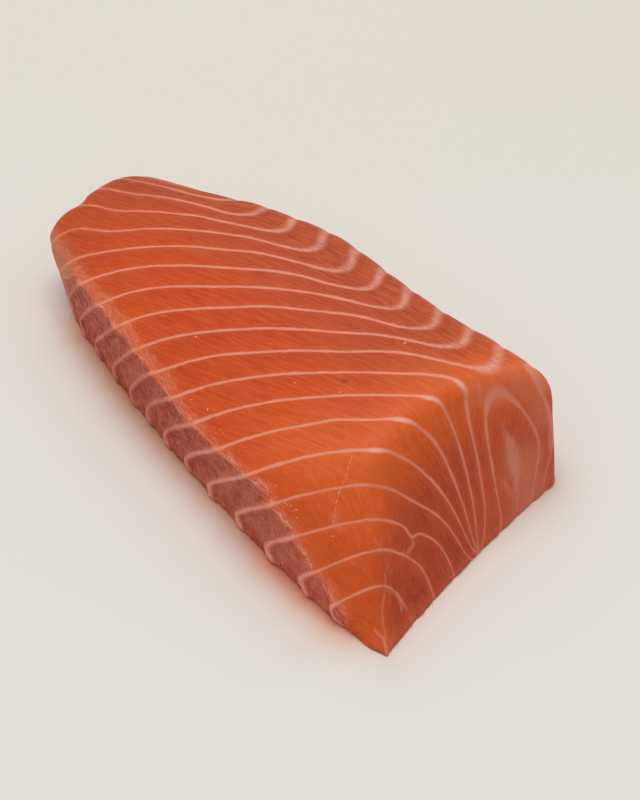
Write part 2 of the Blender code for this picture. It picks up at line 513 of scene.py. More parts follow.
# %% [markdown]
# ## Sheets that curl at the foot of the thin side
#
# On the torn side each sheet of fat is a loose flap, and its lower end curls back towards the near
# end before it reaches the floor. Asking for the sheet count a little way along the fillet, by
# more and more towards the foot, curls the lines without a new table.

# %% Curled sheets
CURL_HIGH, CURL_STEEP = 4.5, 1.1


def curled_count(p):
    low = np.maximum(CURL_HIGH - p[:, 2], 0)
    along = CURL_STEEP * thin_side * low**2 / CURL_HIGH
    return sheet_count(p - along[:, None] * [1, 0, 0])


count = curled_count(flesh)
packing = gradient_size(curled_count, flesh)
print("furthest curl: %.1f mm" % (CURL_STEEP * CURL_HIGH))

# %% [markdown]
# ## Bands along the edges
#
# Light gets a few millimetres into raw fish. Where two faces meet there is little flesh behind
# the surface, and it glows a brighter orange; that glow is painted into the colour as painted
# light, and so are a brighter tip face and a lighter foot of the cut. Lower in the cut the flesh is
# a dull brown red. Over the thick back, every sheet of fat hooks forward and thickens. All of these
# are bands that follow an edge, so each one is worked out from the distances to the faces.

# %% Bands along the edges
GLOW_REACH = 9.0
EDGE_REACH = 1.6

near_depth = np.maximum(depth["near end"], depth["tip"])
over_edge = smooth(share["top"] + cut_end, 0.5, 0.9)
edge_gap = depth["top"] - near_depth
near_edge = np.exp(-((edge_gap / EDGE_REACH) ** 2)) * over_edge
tip_side = depth["near end"] - depth["tip"]
# painted light: a brighter orange band along the top edge of the cut and over the tip face
glow = np.exp(-((edge_gap / GLOW_REACH) ** 2)) * over_edge * smooth(y, -2, 12)
glow = np.maximum(glow, 0.42 * cut_end * smooth(tip_side, 4, -3))
across_ridge = y / (RIDGE_AT + RIDGE_SLOPE * x)
upper = share["top"] + share["back"]
hooks = smooth(across_ridge, 0.80, 1.0) * upper
deep_flesh = cut_end * smooth(depth["top"], -1, -14) * smooth(tip_side, -3, 5)
rim_gap = np.minimum(abs(depth["top"] - depth["far end"]), abs(depth["top"] - depth["thin side"]))
far_rim = np.maximum(np.exp(-((rim_gap / 2.4) ** 2)), 0.8 * share["thin side"]) * smooth(x, -8, -20)
# painted light: a lighter orange glow at the foot of the cut
foot_glow = cut_end * smooth(z, 3.6, 0.3)

# %% [markdown]
# ## How thick and how white the fat is
#
# A sheet of fat is not the same all over. It is a hair's width on the top, thicker where it hooks
# over the back and where it meets the rough thin side, and it swells into a bead where it bends
# down into the near end; there it is also painted whiter, a painted highlight on the bend. Four
# numbers at every point hold that: the half thickness in millimetres, how soft the edge of the line
# is, how white it is with that painted highlight, and how much of it shows.

# %% Fat thickness
ARCH_TOP, ARCH_REACH = (97.6, 55.4, 28.7), 5.0


def ball(p, centre, reach):
    return np.exp(-((p - centre) ** 2).sum(1) / reach**2)


arch = ball(flesh, ARCH_TOP, ARCH_REACH)
# partly painted highlight: the fat is wider where the sheet bends over the edge, and also painted whiter
# there
beads_and_glint = near_edge * smooth(y, 14, 22) * smooth(y, 54, 49)
hook_bend = hooks * smooth(across_ridge, 0.86, 1.0)
low_cut = share["near end"] * smooth(z, 16, 3)
torn_foot = thin_side * smooth(z, 5.5, 2) * smooth(x, 114, 100)
fat_half = 0.34 + 0.36 * hook_bend + 0.12 * thin_side + 0.42 * torn_foot
fat_half -= 0.05 * share["near end"] + 0.10 * share["tip"]
fat_half += 0.20 * beads_and_glint + 0.3 * arch
fat_half *= 1 - 0.35 * low_cut
fat_soft = 0.22 + 0.5 * hook_bend + 0.22 * thin_side + 0.1 * beads_and_glint + 0.25 * arch
fat_white_and_glint = 0.40 - 0.05 * hooks + 0.6 * beads_and_glint - 0.22 * share["near end"] - 0.05 * thin_side
fat_shows = 0.88 + 0.12 * thin_side - 0.2 * low_cut - 0.35 * smooth(x, 0, -28)
fat_shows -= 0.5 * thin_side * smooth(x, 75, 35)
fat_shows *= smooth(x, 121, 118.5)
print("half thickness of the fat: %.2f to %.2f mm" % (fat_half.min(), fat_half.max()))

# %% [markdown]
# ## The core of fat in the near end
#
# Deep in the back, the sheets run so close to the knife cut that one shows as a pale spindle. It
# is drawn as a band around a bent line, wide in its middle and nothing at its ends.

# %% Core of fat
CORE_LINE = np.array([
    [51.1, 29], [54.8, 23.5], [56.0, 18.5], [56.7, 14], [56.6, 9.5], [55.6, 4.5], [54.5, 0],
])
CORE_HALF = 2.3
core_y = np.interp(-z, -CORE_LINE[:, 1], CORE_LINE[:, 0])
core_swell = np.sin(math.pi * np.clip((z - 3.0) / 21.5, 0, 1)) ** 1.2 * smooth(z, 27, 14)
core_fat = np.where(cut_end > 0.3, CORE_HALF * core_swell - np.abs(y - core_y), -3.0)

# %% [markdown]
# ## Stray strands of fat
#
# Between the sheets, the cut shows strands too small for the table: a branch at the notch of the
# third sheet, petals around the tip, and a pale seam at the thick corner. Two broad pale washes along
# the rounded thick corner are a painted highlight, drawn the same way. Each is a line of points on
# the surface with a half width and a strength. The distance from every point of the mesh to the
# line makes the strand.

# %% Stray strands
STRANDS = [
    (0.30, 0.60, [(110.4, 23.1, 11.8), (111.1, 22.8, 11.0), (111.6, 21.8, 10.7),
                  (112.0, 20.6, 10.6), (112.1, 19.3, 10.9)]),
    (0.20, 0.38, [(110.7, 13.8, 13.9), (110.0, 14.2, 14.6), (109.0, 14.0, 15.4),
                  (108.6, 13.8, 15.8)]),
    (0.20, 0.28, [(110.0, 14.2, 14.6), (109.3, 15.3, 15.3), (108.9, 16.1, 15.6)]),
    (0.22, 0.30, [(116.0, 11.8, 8.9), (114.5, 12.5, 10.2), (113.7, 13.4, 10.9),
                  (113.0, 14.8, 11.3)]),
    (0.20, 0.22, [(114.9, 13.3, 9.6), (113.9, 14.8, 10.2)]),
    (0.22, 0.42, [(116.4, 11.8, 8.4), (117.3, 10.4, 7.8), (118.4, 9.3, 6.8), (119.6, 8.4, 5.7),
                  (120.8, 7.7, 4.5), (122.0, 7.2, 3.5), (123.2, 6.9, 2.5)]),
    (0.32, 0.45, [(116.6, 12.4, 7.9), (117.4, 13.6, 6.6), (118.6, 13.9, 5.1),
                  (119.9, 13.3, 3.8)]),
    (0.22, 0.25, [(116.6, 12.1, 8.0), (117.7, 11.7, 6.9), (118.8, 10.8, 6.0)]),
    (0.30, 0.75, [(120.8, 5.7, 3.4), (121.6, 5.7, 2.9), (122.5, 6.1, 2.7), (123.3, 6.3, 2.3),
                  (124.4, 6.0, 1.4), (125.5, 5.5, 0.1)]),
    (1.50, 0.80, [(97.0, 65.4, 30.6), (98.9, 66.0, 29.2), (100.5, 66.8, 26.3)]),
    (0.90, 0.55, [(100.5, 66.8, 26.3), (101.9, 67.8, 22.1), (103.3, 68.2, 16.5),
                  (104.6, 67.6, 11.0)]),
    (1.30, 0.50, [(106.0, 52.4, 9.0), (107.4, 54.2, 5.0), (108.8, 56.2, 1.0)]),
    (6.00, 0.42, [(105.0, 60.0, 10.0), (107.5, 59.5, 4.0), (108.8, 58.5, 0.0)]),
    # painted highlight: two broad pale washes along the thick corner
    (3.50, 0.36, [(97.0, 60.5, 30.5), (99.9, 65.0, 25.0), (102.4, 65.8, 18.5)]),
    (3.20, 0.30, [(96.6, 51.6, 29.6), (98.0, 56.3, 28.2)]),
    (0.90, 0.35, [(100.2, 9.6, 18.4), (101.2, 8.8, 16.9), (101.9, 9.6, 16.4)]),
]
RED_SPOTS = [(0.55, (116.6, 13.7, 7.4)), (0.5, (116.0, 19.2, 6.1)), (0.4, (117.1, 16.9, 5.7)),
             (0.7, (76.3, 28.5, 30.0))]


def distance_to_line(p, line):
    nearest = np.full(len(p), np.inf)
    for start, end in zip(line[:-1], line[1:]):
        way = end - start
        t = np.clip((p - start) @ way / (way @ way), 0, 1)
        nearest = np.minimum(nearest, np.linalg.norm(p - start - t[:, None] * way, axis=1))
    return nearest


stray_fat_and_glint = np.zeros(len(flesh))
for half, strength, line in STRANDS:
    away = distance_to_line(flesh, np.array(line))
    stray_fat_and_glint = np.maximum(stray_fat_and_glint, strength * np.exp(-((away / half) ** 2)))
red_spots = sum(ball(flesh, centre, reach) for reach, centre in RED_SPOTS)
print(len(STRANDS), "strands,", len(RED_SPOTS), "red spots")

# %% [markdown]
# ## Which way the cut fibres run
#
# On the near end the fibres fan out from the foot, and around the tip they stand like the rays of
# a shell. A streak pattern only needs one number that changes across the fibres and stays the
# same along them, so that number is worked out here.

# %% Fibres on the cut
TIP_HUB_Y, TIP_HUB_Z, TIP_RAYS = 11.0, 4.0, 13.0
fan = y - 0.018 * (y - 42) * z
rays = TIP_RAYS * np.arctan2(y - TIP_HUB_Y, np.maximum(z - TIP_HUB_Z, 0.5))
hair_across = fan + (rays - fan) * smooth(y, 27, 19)

# %% [markdown]
# ## The mesh with its marks
#
# Every one of these numbers is stored on the mesh as a named attribute. Geometry Nodes and the
# material both read them by name, so shape and colour agree to the point. The tip is also drawn
# out to its real sharpness here, which the rounding of the block took off.

# %% Object with its marks
TIP_POINT, TIP_REACH, TIP_PULL = np.array([127.0, 5.1, 0.0]), 2.2, 0.8
TRIM_AT, TRIM_REACH, TRIM = (117.5, 0.8, 0.5), 4.2, 0.9

marks = {
    "sheet_count": count,
    "sheet_packing": packing,
    "fat_half": fat_half,
    "fat_soft": fat_soft,
    "fat_white_and_glint": fat_white_and_glint,
    "fat_shows": fat_shows,
    "stray_fat_and_glint": stray_fat_and_glint,
    "red_spots": red_spots,
    "core_fat": core_fat,
    "thin_side": thin_side,
    "cut_end": cut_end,
    "far_end": share["far end"],
    "back_face": smooth(depth["back"] - depth["top"], -3, 3),
    "underside": share["floor"],
    "wall_gap": wall_gap,
    "far_rim": far_rim,
    "near_half": smooth(x, 38, 64),
    "near_tip": smooth(x, 50, 105),
    "hair_across": hair_across,
    "glow": glow,
    "foot_glow": foot_glow,
    "foot": smooth(z, 2.5, 0.8),
    "hooks": hooks,
    # painted shade: darker towards the thick back and the far end
    "shade_toward_back": (0.75 * smooth(across_ridge, 0.35, 0.95) + 0.4 * smooth(x, 5, -35)) * upper,
    "deep_flesh": deep_flesh,
}


def object_from(name, points, faces, values, edges=()):
    mesh = bpy.data.meshes.new(name)
    mesh.from_pydata(((points - shift) * MM).tolist(), list(edges), faces)
    for mark_name, value in values.items():
        layer = mesh.attributes.new(mark_name, "FLOAT", "POINT")
        layer.data.foreach_set("value", value.astype(np.float32))
    mesh.shade_smooth()
    made = bpy.data.objects.new(name, mesh)
    bpy.context.scene.collection.objects.link(made)
    return made


pull = TIP_PULL * ball(flesh, TIP_POINT, TIP_REACH)[:, None]
toward = TIP_POINT - flesh
drawn = flesh + pull * toward / np.maximum(np.linalg.norm(toward, axis=1), 1)[:, None]
drawn[:, 1] += TRIM * ball(flesh, TRIM_AT, TRIM_REACH)
fillet_flesh = object_from("fillet_flesh", drawn, cells, marks)
print(len(marks), "marks on", len(fillet_flesh.data.vertices), "points")

# %% [markdown]
# ## Sums inside a node tree
#
# Geometry Nodes and shader trees share the same Math node. A few more helpers write its most
# common uses in one word each, and `mark` reads one of the named attributes.

# %% More node helpers


def mark(tree, name):
    node = put(tree, "GeometryNodeInputNamedAttribute", {"Name": name}, data_type="FLOAT")
    return node.outputs[0]


def times(tree, *values):
    result = values[0]
    for value in values[1:]:
        result = maths(tree, "MULTIPLY", result, value)
    return result


def plus(tree, *values):
    result = values[0]
    for value in values[1:]:
        result = maths(tree, "ADD", result, value)
    return result


def less(tree, value, taken):
    return maths(tree, "SUBTRACT", value, taken)


def even(tree, value, size=1.0):
    """Turns a noise from 0..1 to -size..size."""
    return maths(tree, "MULTIPLY_ADD", value, 2.0 * size, -size)


def scaled(tree, vector, factor):
    node = put(tree, "ShaderNodeVectorMath", operation="SCALE")
    feed(tree, node.inputs[0], vector)
    feed(tree, node.inputs["Scale"], factor)
    return node.outputs[0]


def from_sheet(tree, sheets, packed):
    """Millimetres to the nearest sheet of fat."""
    off = maths(tree, "ABSOLUTE", less(tree, sheets, maths(tree, "ROUND", sheets)))
    return maths(tree, "DIVIDE", off, packed)


# %% [markdown]
# ## The relief
#
# Each segment of muscle swells a little between its two sheets. On the thin side, where the flesh
# was torn rather than cut, the sheets stand proud as soft lips and the fibres are ragged. At the
# foot of the near end the flesh sags into small scallops. A Geometry Nodes tree moves every point
# along its own normal by the sum of all this. Its inputs are named sizes in metres, so each
# effect can be turned up or down without touching the tree. A displacement in the material would
# not reach the mesh file, and sculpting could not be repeated.

# %% Relief tree
MM_PER_METRE = 1000.0
TORN_SLOPE = math.radians(34)


def turned_place(tree, place, turn, stretch):
    turned = put(tree, "ShaderNodeVectorRotate", {"Vector": place, "Rotation": turn},
                 rotation_type="EULER_XYZ", invert=True).outputs[0]
    return vector_maths(tree, "MULTIPLY", turned, (1 / stretch, 1, 1))


def relief_height(tree, given, place):
    sheets = mark(tree, "sheet_count")
    centred = maths(tree, "ABSOLUTE", even(tree, maths(tree, "FRACT", sheets)))
    pillow = less(tree, 1.0, maths(tree, "POWER", centred, 3.0))
    swell = plus(tree, given["Segment swell"],
                 times(tree, given["Back swell"], mark(tree, "hooks")))
    swell = times(tree, swell, less(tree, 1.0, mark(tree, "thin_side")))
    patchy = maths(tree, "MULTIPLY_ADD", noise(tree, place, 0.05, 1.0), 1.6, 0.2)
    uneven = even(tree, noise(tree, place, 0.06, 2.0))
    near = ramp(tree, from_sheet(tree, sheets, mark(tree, "sheet_packing")), 0.3, 1.7, 1.0, 0.0)
    torn = even(tree, noise(tree, turned_place(tree, place, (0, TORN_SLOPE, 0), 2.5), 0.9, 3.0, 0.6))
    scallop = even(tree, noise(tree, place, 0.33, 2.0, 0.6))
    grain = even(tree, noise(tree, place, 0.9, 2.0, 0.6))
    side = mark(tree, "thin_side")
    return plus(
        tree,
        times(tree, swell, pillow, patchy),
        times(tree, given["Unevenness"], uneven),
        times(tree, given["Torn lips"], side, near),
        times(tree, given["Torn fibres"], side, torn),
        times(tree, given["Foot scallops"], mark(tree, "foot"),
              plus(tree, mark(tree, "cut_end"), side), scallop),
        times(tree, given["Cut grain"], mark(tree, "cut_end"), grain),
    )


def relief_tree():
    sizes = [
        ("Segment swell", 0.00022), ("Back swell", 0.00012), ("Unevenness", 0.0005),
        ("Torn lips", 0.0006), ("Torn fibres", 0.0006), ("Foot scallops", 0.0008),
        ("Cut grain", 0.00012),
    ]
    inputs = [("Geometry", GEOMETRY, None)] + [(name, FLOAT, size) for name, size in sizes]
    inputs.append(("Finish", "NodeSocketMaterial", None))
    tree, given, result = new_tree("Flesh relief", "GeometryNodeTree", inputs,
                                   [("Geometry", GEOMETRY)])
    place = scaled(tree, put(tree, "GeometryNodeInputPosition").outputs[0], MM_PER_METRE)
    height = times(tree, relief_height(tree, given, place),
                   less(tree, 1.0, mark(tree, "underside")))
    move = scaled(tree, put(tree, "GeometryNodeInputNormal").outputs[0], height)
    moved = put(tree, "GeometryNodeSetPosition", {"Geometry": given["Geometry"], "Offset": move})
    real = put(tree, "GeometryNodeRealizeInstances", {"Geometry": moved.outputs[0]})
    finish = put(tree, "GeometryNodeSetMaterial",
                 {"Geometry": real.outputs[0], "Material": given["Finish"]})
    feed(tree, result["Geometry"], finish.outputs[0])
    return tree


# %% [markdown]
# ## From modifier to plain mesh
#
# A modifier's inputs are set by the identifier of each socket, which Blender gives it when the
# socket is made. Once the sizes and the finish are in, the object is evaluated and the result is
# kept as its own mesh.

# %% Run a tree


def socket_id(tree, name):
    for item in tree.interface.items_tree:
        if item.item_type == "SOCKET" and item.in_out == "INPUT" and item.name == name:
            return item.identifier
    raise KeyError(name)


def run_tree(made, tree, **inputs):
    """Runs a tree on an object and keeps what it makes as a plain mesh."""
    modifier = made.modifiers.new(tree.name, "NODES")
    modifier.node_group = tree
    for name, value in inputs.items():
        modifier[socket_id(tree, name.replace("_", " "))] = value
    graph = bpy.context.evaluated_depsgraph_get()
    mesh = bpy.data.meshes.new_from_object(made.evaluated_get(graph), depsgraph=graph,
                                           preserve_all_data_layers=True)
    made.modifiers.clear()
    old = made.data
    made.data = mesh
    bpy.data.meshes.remove(old)
    mesh.name = made.name
    print(made.name, "has", sum(len(p.vertices) - 2 for p in mesh.polygons), "triangles")


# %% [markdown]
# ## Fibre streaks
#
# Muscle is made of fibres, and wet fibres show as fine streaks. A noise that is stretched along
# one direction looks just like that. The same streaks are needed on the top, on the torn side, on
# the cuts and on the loose strands, each with its own direction and spacing, so they are a shader
# group with named inputs.

# %% Fibre group


def attribute(tree, name):
    return put(tree, "ShaderNodeAttribute", attribute_name=name).outputs["Fac"]


def fibre_group():
    tree, given, result = new_tree(
        "Fibre streaks", "ShaderNodeTree",
        [("Place", VECTOR, None), ("Turn", VECTOR, (0, 0, 0)), ("Spacing", FLOAT, 0.8),
         ("Stretch", FLOAT, 14.0), ("Height share", FLOAT, 1.0), ("Curl", FLOAT, 0.2)],
        [("Streak", FLOAT)])
    turned = put(tree, "ShaderNodeVectorRotate", {"Vector": given["Place"], "Rotation": given["Turn"]},
                 rotation_type="EULER_XYZ", invert=True)
    parts = put(tree, "ShaderNodeSeparateXYZ", {"Vector": turned.outputs[0]}).outputs
    long = maths(tree, "DIVIDE", parts[0], given["Stretch"])
    high = maths(tree, "MULTIPLY", parts[2], given["Height share"])
    joined = put(tree, "ShaderNodeCombineXYZ", {"X": long, "Y": parts[1], "Z": high}).outputs[0]
    fine = maths(tree, "DIVIDE", 0.5, given["Spacing"])
    feed(tree, result["Streak"], noise(tree, joined, fine, 3.0, 0.7, given["Curl"]))
    return tree


# %% [markdown]
# ## Sheets of fat in the material
#
# The mesh is too coarse to draw a line a third of a millimetre wide, but it can carry the sheet
# count, which changes slowly. The group turns the count back into a distance in millimetres and
# draws the sheet where that is small. A little noise makes the line wander, swell and fray.

# %% Fat group


def fat_group():
    tree, given, result = new_tree(
        "Fat sheets", "ShaderNodeTree",
        [("Count", FLOAT, 0.5), ("Packing", FLOAT, 0.09), ("Half thickness", FLOAT, 0.35),
         ("Softness", FLOAT, 0.22), ("Place", VECTOR, None), ("Fray", FLOAT, 0.5), ("Kink", FLOAT, 0.05)],
        [("Fat", FLOAT), ("Halo", FLOAT)])
    kink = less(tree, noise(tree, given["Place"], 0.3, 3.0, 0.6), 0.5)
    wander = maths(tree, "MULTIPLY_ADD", kink, given["Kink"], given["Count"])
    away = from_sheet(tree, wander, given["Packing"])
    fray = times(tree, less(tree, given["Fray"], 0.5), given["Softness"], 2.2)
    swell = maths(tree, "MULTIPLY_ADD", noise(tree, given["Place"], 0.2, 3.0, 0.6), 1.3, 0.35)
    half = times(tree, given["Half thickness"], swell)
    inner = less(tree, half, given["Softness"])
    outer = plus(tree, half, given["Softness"])
    feed(tree, result["Fat"], ramp(tree, plus(tree, away, fray), inner, outer, 1.0, 0.0))
    feed(tree, result["Halo"], ramp(tree, away, 0.0, 2.0, 1.0, 0.0))
    return tree


def group(tree, made, **inputs):
    node = put(tree, "ShaderNodeGroup", node_tree=made)
    for name, value in inputs.items():
        feed(tree, node.inputs[name.replace("_", " ")], value)
    return node.outputs


def blend(tree, part, first, second):
    return put(tree, "ShaderNodeMix", {0: part, 2: first, 3: second}).outputs[0]


def stripe(tree, value, middle, half):
    """One where the value is at the middle, and zero half a width away."""
    return ramp(tree, maths(tree, "ABSOLUTE", less(tree, value, middle)), 0.0, half, 1.0, 0.0)


# %% [markdown]
# ## The colour of the muscle
#
# The muscle is orange red, never one flat colour. Under each sheet it is painted redder, a painted
# shade below the step of the sheet, and it lightens towards the next; over the back this painted
# shade is deeper in the hollows between the hooks. Broad soft patches drift over it, the edges glow
# orange as painted light, the back and the far end are painted darker as painted shade, and the
# inside of the cut is a dull red. Each step mixes one more colour in by one of the marks. Colours
# are given as linear light, which is what the shader works in.

# %% Muscle colour
PAINTED_SHADE_UNDER_SHEET = (0.55, 0.051, 0.008, 1)
ORANGE_OVER_SHEET = (0.68, 0.073, 0.0095, 1)
PATCH = (0.67, 0.09, 0.012, 1)
PAINTED_EDGE_GLOW = (0.83, 0.147, 0.021, 1)
PAINTED_SHADE_ON_BACK = (0.39, 0.064, 0.022, 1)
PAINTED_SHADE_IN_HOLLOW = (0.30, 0.035, 0.013, 1)
CUT_RED = (0.37, 0.044, 0.021, 1)
CUT_UPPER = (0.55, 0.082, 0.033, 1)
PAINTED_FOOT_GLOW = (0.60, 0.125, 0.05, 1)
FAR_RIM = (0.62, 0.24, 0.14, 1)


def muscle_colour(tree, mm, m):
    part = maths(tree, "FRACT", m["sheet_count"])
    # painted shade: redder just under each sheet
    base = mixed(tree, part, ORANGE_OVER_SHEET, PAINTED_SHADE_UNDER_SHEET)
    patches = ramp(tree, noise(tree, mm, 0.05, 3.0, 0.55), 0.35, 0.7, 0.0, 0.5)
    base = mixed(tree, patches, base, PATCH)
    # painted shade on the back and the far end
    base = mixed(tree, m["shade_toward_back"], base, PAINTED_SHADE_ON_BACK)
    # painted shade: deeper in the hollows between the hooks over the back
    hollow_shade = times(tree, m["hooks"], ramp(tree, part, 0.35, 0.9, 0.0, 0.7))
    base = mixed(tree, hollow_shade, base, PAINTED_SHADE_IN_HOLLOW)
    base = mixed(tree, times(tree, m["far_rim"], 0.7), base, FAR_RIM)
    deep = mixed(tree, ramp(tree, m["hair_across"], 34.0, 52.0), CUT_RED, CUT_UPPER)
    deep = mixed(tree, ramp(tree, noise(tree, mm, 0.1, 2.0), 0.35, 0.65, 0.0, 0.3), deep, PATCH)
    base = mixed(tree, times(tree, m["deep_flesh"], 0.95), base, deep)
    # painted light: the glow along the edges and on the tip face
    base = mixed(tree, times(tree, m["glow"], 0.8), base, PAINTED_EDGE_GLOW)
    # painted light: the glow at the foot of the cut
    return mixed(tree, times(tree, m["foot_glow"], 0.55), base, PAINTED_FOOT_GLOW)


# %% [markdown]
# ## The torn thin side
#
# Here the fillet was pulled from its neighbour. The surface is a mesh of pale torn tissue with
# short dark gaps between the fibres, so it needs two layers: a pink mottle, and dashes that
# follow the fibres as they dive towards the foot.

# %% Torn side colour
TORN_PINK, TORN_PALE = (0.44, 0.070, 0.038, 1), (0.62, 0.142, 0.084, 1)
TORN_GAP, TORN_THREAD = (0.29, 0.025, 0.012, 1), (0.80, 0.25, 0.15, 1)
TORN_NEAR_TIP = (0.86, 0.22, 0.14, 1)


def torn_colour(tree, mm, m, dash):
    mottle = ramp(tree, noise(tree, mm, 0.3, 3.0, 0.6), 0.35, 0.65)
    base = mixed(tree, mottle, TORN_PINK, TORN_PALE)
    base = mixed(tree, times(tree, m["near_tip"], 0.3), base, TORN_NEAR_TIP)
    clusters = ramp(tree, noise(tree, mm, 0.35, 2.0), 0.35, 0.6, 0.3, 0.85)
    base = mixed(tree, times(tree, ramp(tree, dash, 0.47, 0.35), clusters), base, TORN_GAP)
    return mixed(tree, ramp(tree, dash, 0.53, 0.66, 0.0, 0.6), base, TORN_THREAD)


# %% [markdown]
# ## Film along the edge
#
# A ragged skin of clear tissue laps over the edge of the thin side onto the top. It is paler than
# the muscle, streaked along the edge, and both its rims catch the light as thin bright lines. The
# distance from the edge, made uneven by long noise, gives the film and its rims.

# %% Film over the edge
FILM, FILM_THREAD, FILM_RIM = (0.78, 0.20, 0.10, 1), (0.90, 0.34, 0.20, 1), (0.97, 0.45, 0.31, 1)
FILM_WIDTH = 2.6
NEAR_HALF_NARROWER = 1.7


def torn_mask(tree, mm, m, web):
    """Where the torn side shows: its upper border wanders, and blurs towards the tip."""
    wander = plus(tree, even(tree, noise(tree, mm, 0.25, 3.0, 0.6), 1.5), even(tree, web, 1.2))
    blur = maths(tree, "MULTIPLY_ADD", m["near_half"], 0.7, 0.35)
    gap = plus(tree, m["wall_gap"], wander)
    return gap, ramp(tree, gap, times(tree, blur, -1.0), blur)


def film_over(tree, mm, m, web, base):
    inset = less(tree, times(tree, m["near_half"], NEAR_HALF_NARROWER), m["torn_gap"])
    on_top = less(tree, 1.0, m["wall"])
    film = times(tree, ramp(tree, inset, FILM_WIDTH - 2.4, FILM_WIDTH + 2.0, 1.0, 0.0), on_top)
    base = mixed(tree, times(tree, film, 0.5), base, FILM)
    threads = times(tree, film, ramp(tree, web, 0.5, 0.66))
    base = mixed(tree, times(tree, threads, 0.35), base, FILM_THREAD)
    gaps = ramp(tree, noise(tree, mm, 0.22, 2.0), 0.40, 0.56)
    rim = times(tree, stripe(tree, inset, FILM_WIDTH, 0.5), gaps, on_top)
    base = mixed(tree, times(tree, rim, 0.14), base, FILM_RIM)
    edge = times(tree, stripe(tree, m["torn_gap"], -0.3, 0.28), gaps)
    return mixed(tree, times(tree, edge, 0.75), base, FILM_RIM)


# %% [markdown]
# ## Fat over the muscle
#
# The sheets, the core and the stray strands are laid over the muscle last, from a pinkish fat to
# a nearly white one. On the back the fibres cross over the fat, so the streaks break it up there.

# %% Fat over the muscle
FAT_PINK, FAT_PALE, CORE_PINK = (0.75, 0.20, 0.12, 1), (0.95, 0.48, 0.34, 1), (0.70, 0.26, 0.18, 1)
HOOK_PALE, TORN_BAND = (0.82, 0.40, 0.31, 1), (1.0, 0.40, 0.32, 1)
HALO, BLOOD = (0.80, 0.19, 0.075, 1), (0.22, 0.015, 0.01, 1)


def fat_over(tree, m, lines, streak, hair, base):
    base = mixed(tree, times(tree, lines["Halo"], 0.10), base, HALO)
    colour = mixed(tree, m["fat_white_and_glint"], FAT_PINK, FAT_PALE)
    colour = mixed(tree, times(tree, m["hooks"], 0.85), colour, HOOK_PALE)
    colour = mixed(tree, m["wall"], colour, TORN_BAND)
    crossed = plus(tree, times(tree, m["hooks"], 0.6), times(tree, m["wall"], 0.35))
    broken = less(tree, 1.0, times(tree, crossed, ramp(tree, streak, 0.54, 0.42)))
    shown = times(tree, lines["Fat"], m["fat_shows"], broken)
    base = mixed(tree, shown, base, colour)
    base = mixed(tree, m["stray_fat_and_glint"], base, mixed(tree, 0.25, FAT_PINK, FAT_PALE))
    core = ramp(tree, plus(tree, m["core_fat"], even(tree, hair, 1.5)), -0.7, 1.5, 0.0, 0.72)
    base = mixed(tree, core, base, CORE_PINK)
    return mixed(tree, times(tree, m["red_spots"], 0.6), base, BLOOD)


# %% [markdown]
# ## The flesh material
#
# One Principled shader takes it all. Raw salmon is moist, so it has a soft sheen rather than a
# mirror shine, and light scatters a few millimetres inside it, red the furthest. The streaks also
# feed a bump, so that the sheen breaks up along the fibres.

# %% Flesh material
TOP_TURN = math.radians(18)
STREAK_DARK, STREAK_LIGHT = (0.30, 0.02, 0.005, 1), (0.90, 0.21, 0.06, 1)


def flesh_streaks(tree, fibres, mm, m):
    high = put(tree, "ShaderNodeSeparateXYZ", {"Vector": mm}).outputs[2]
    fan_place = put(tree, "ShaderNodeCombineXYZ", {"X": high, "Y": m["hair_across"]}).outputs[0]
    top = group(tree, fibres, Place=mm, Turn=(0, 0, TOP_TURN), Spacing=0.27, Stretch=15.0,
                Height_share=0.1)[0]
    dash = group(tree, fibres, Place=mm, Turn=(0, TORN_SLOPE, 0), Spacing=0.27, Stretch=2.6,
                 Curl=0.8)[0]
    hair = group(tree, fibres, Place=fan_place, Spacing=0.22, Stretch=7.0, Curl=0.8)[0]
    web = group(tree, fibres, Place=mm, Turn=(0, 0, math.radians(-6)), Spacing=0.22,
                Stretch=7.0, Height_share=0.3, Curl=0.8)[0]
    back = group(tree, fibres, Place=mm, Turn=(0, 0, math.radians(4)), Spacing=0.27,
                 Stretch=15.0)[0]
    top = blend(tree, m["back_face"], top, back)
    m["torn_gap"], m["wall"] = torn_mask(tree, mm, m, web)
    streak = blend(tree, m["wall"], blend(tree, m["cut_end"], top, hair), dash)
    return streak, dash, hair, web


